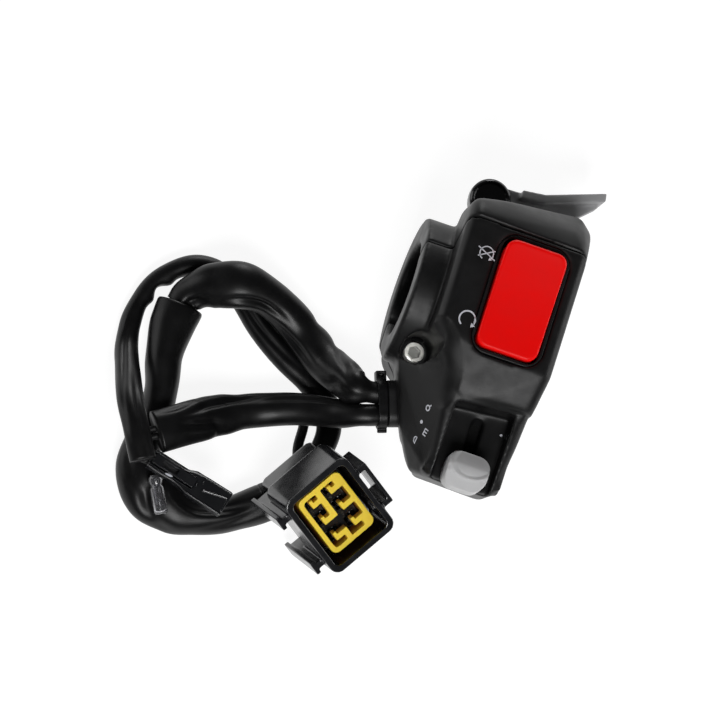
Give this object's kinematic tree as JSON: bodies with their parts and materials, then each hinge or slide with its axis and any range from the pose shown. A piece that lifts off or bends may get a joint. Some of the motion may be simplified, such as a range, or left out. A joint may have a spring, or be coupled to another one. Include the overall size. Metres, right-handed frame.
{
  "type": "handlebar switch cluster",
  "caption": "Handlebar switch cluster: split clamp housing with a red stop rocker, light slider and choke lever, and a sleeved harness ending in a multi-way connector.",
  "frame": {"origin": "centre of the handlebar bore, half way along it", "axes": "+X along the bar towards the housing's right side, +Y up along the housing's face, +Z out of the face"},
  "size_m": [0.0978, 0.1069, 0.0468],
  "materials": {
    "housing_black": "matt",
    "frame_black": "satin",
    "stop_red": "satin",
    "knob_grey": "satin",
    "lever_grey": "satin",
    "bolt_black": "gloss",
    "screw_steel": "polished",
    "spring_steel": "satin",
    "contact_brass": "satin",
    "inner_plastic": "matt",
    "plunger_white": "satin",
    "sleeve_black": "satin",
    "lead_black": "satin",
    "connector_black": "gloss",
    "retainer_yellow": "satin",
    "terminal_tin": "polished",
    "tie_black": "satin",
    "bullet_clear": "satin"
  },
  "bodies": {
    "housing": {"front_shell": "housing_black", "rear_shell": "housing_black", "clamp_screws": "screw_steel", "rocker_frame": "frame_black", "rocker_pin": "screw_steel", "stop_switch_body": "inner_plastic", "stop_plunger_spring": "spring_steel", "stop_blades": "contact_brass", "stop_detent_ball": "screw_steel", "stop_detent_spring": "spring_steel", "light_base": "inner_plastic", "light_contacts": "contact_brass", "light_base_screws": "screw_steel", "lever_bolt": "bolt_black", "lever_bush": "contact_brass", "lever_washer": "screw_steel", "exit_grommet": "lead_black", "cable_tie": "tie_black", "inner_leads": "lead_black", "main_lead": "sleeve_black", "main_sleeve": "sleeve_black", "light_lead": "sleeve_black", "inline_wires": "lead_black", "branch_lead": "sleeve_black", "connector_housing": "connector_black", "connector_retainer": "retainer_yellow", "connector_terminals": "terminal_tin", "connector_boot": "lead_black", "inline_housing": "connector_black", "inline_lock": "connector_black", "bullet_sleeve": "bullet_clear", "bullet_pin": "terminal_tin"},
    "rocker": {"stop_rocker": "stop_red"},
    "plunger": {"stop_plunger": "plunger_white"},
    "slider": {"light_knob": "knob_grey", "light_carriage": "inner_plastic", "light_bridge": "contact_brass", "light_detent_ball": "screw_steel", "light_detent_spring": "spring_steel"},
    "lever": {"choke_lever": "lever_grey"}
  },
  "joints": [
    {"name": "stop_rocker_turn", "type": "hinge", "parent": "housing", "child": "rocker", "pos_m": [0.0057, 0.0009, 0.018], "axis": [-1, 0, 0], "range_deg": [0, 12]},
    {"name": "stop_plunger_slide", "type": "slide", "parent": "housing", "child": "plunger", "axis": [0, 0, -1], "range_m": [0, 0.0022]},
    {"name": "light_slide", "type": "slide", "parent": "housing", "child": "slider", "axis": [0, 1, 0], "range_m": [0, 0.008]},
    {"name": "choke_lever_turn", "type": "hinge", "parent": "housing", "child": "lever", "pos_m": [-0.0051, 0.0262, -0.0026], "axis": [0, 0, 1], "range_deg": [0, 50]}
  ],
  "couplings": [
    {"joint": "stop_plunger_slide", "follows": "stop_rocker_turn", "m_per_rad": 0.0105}
  ]
}
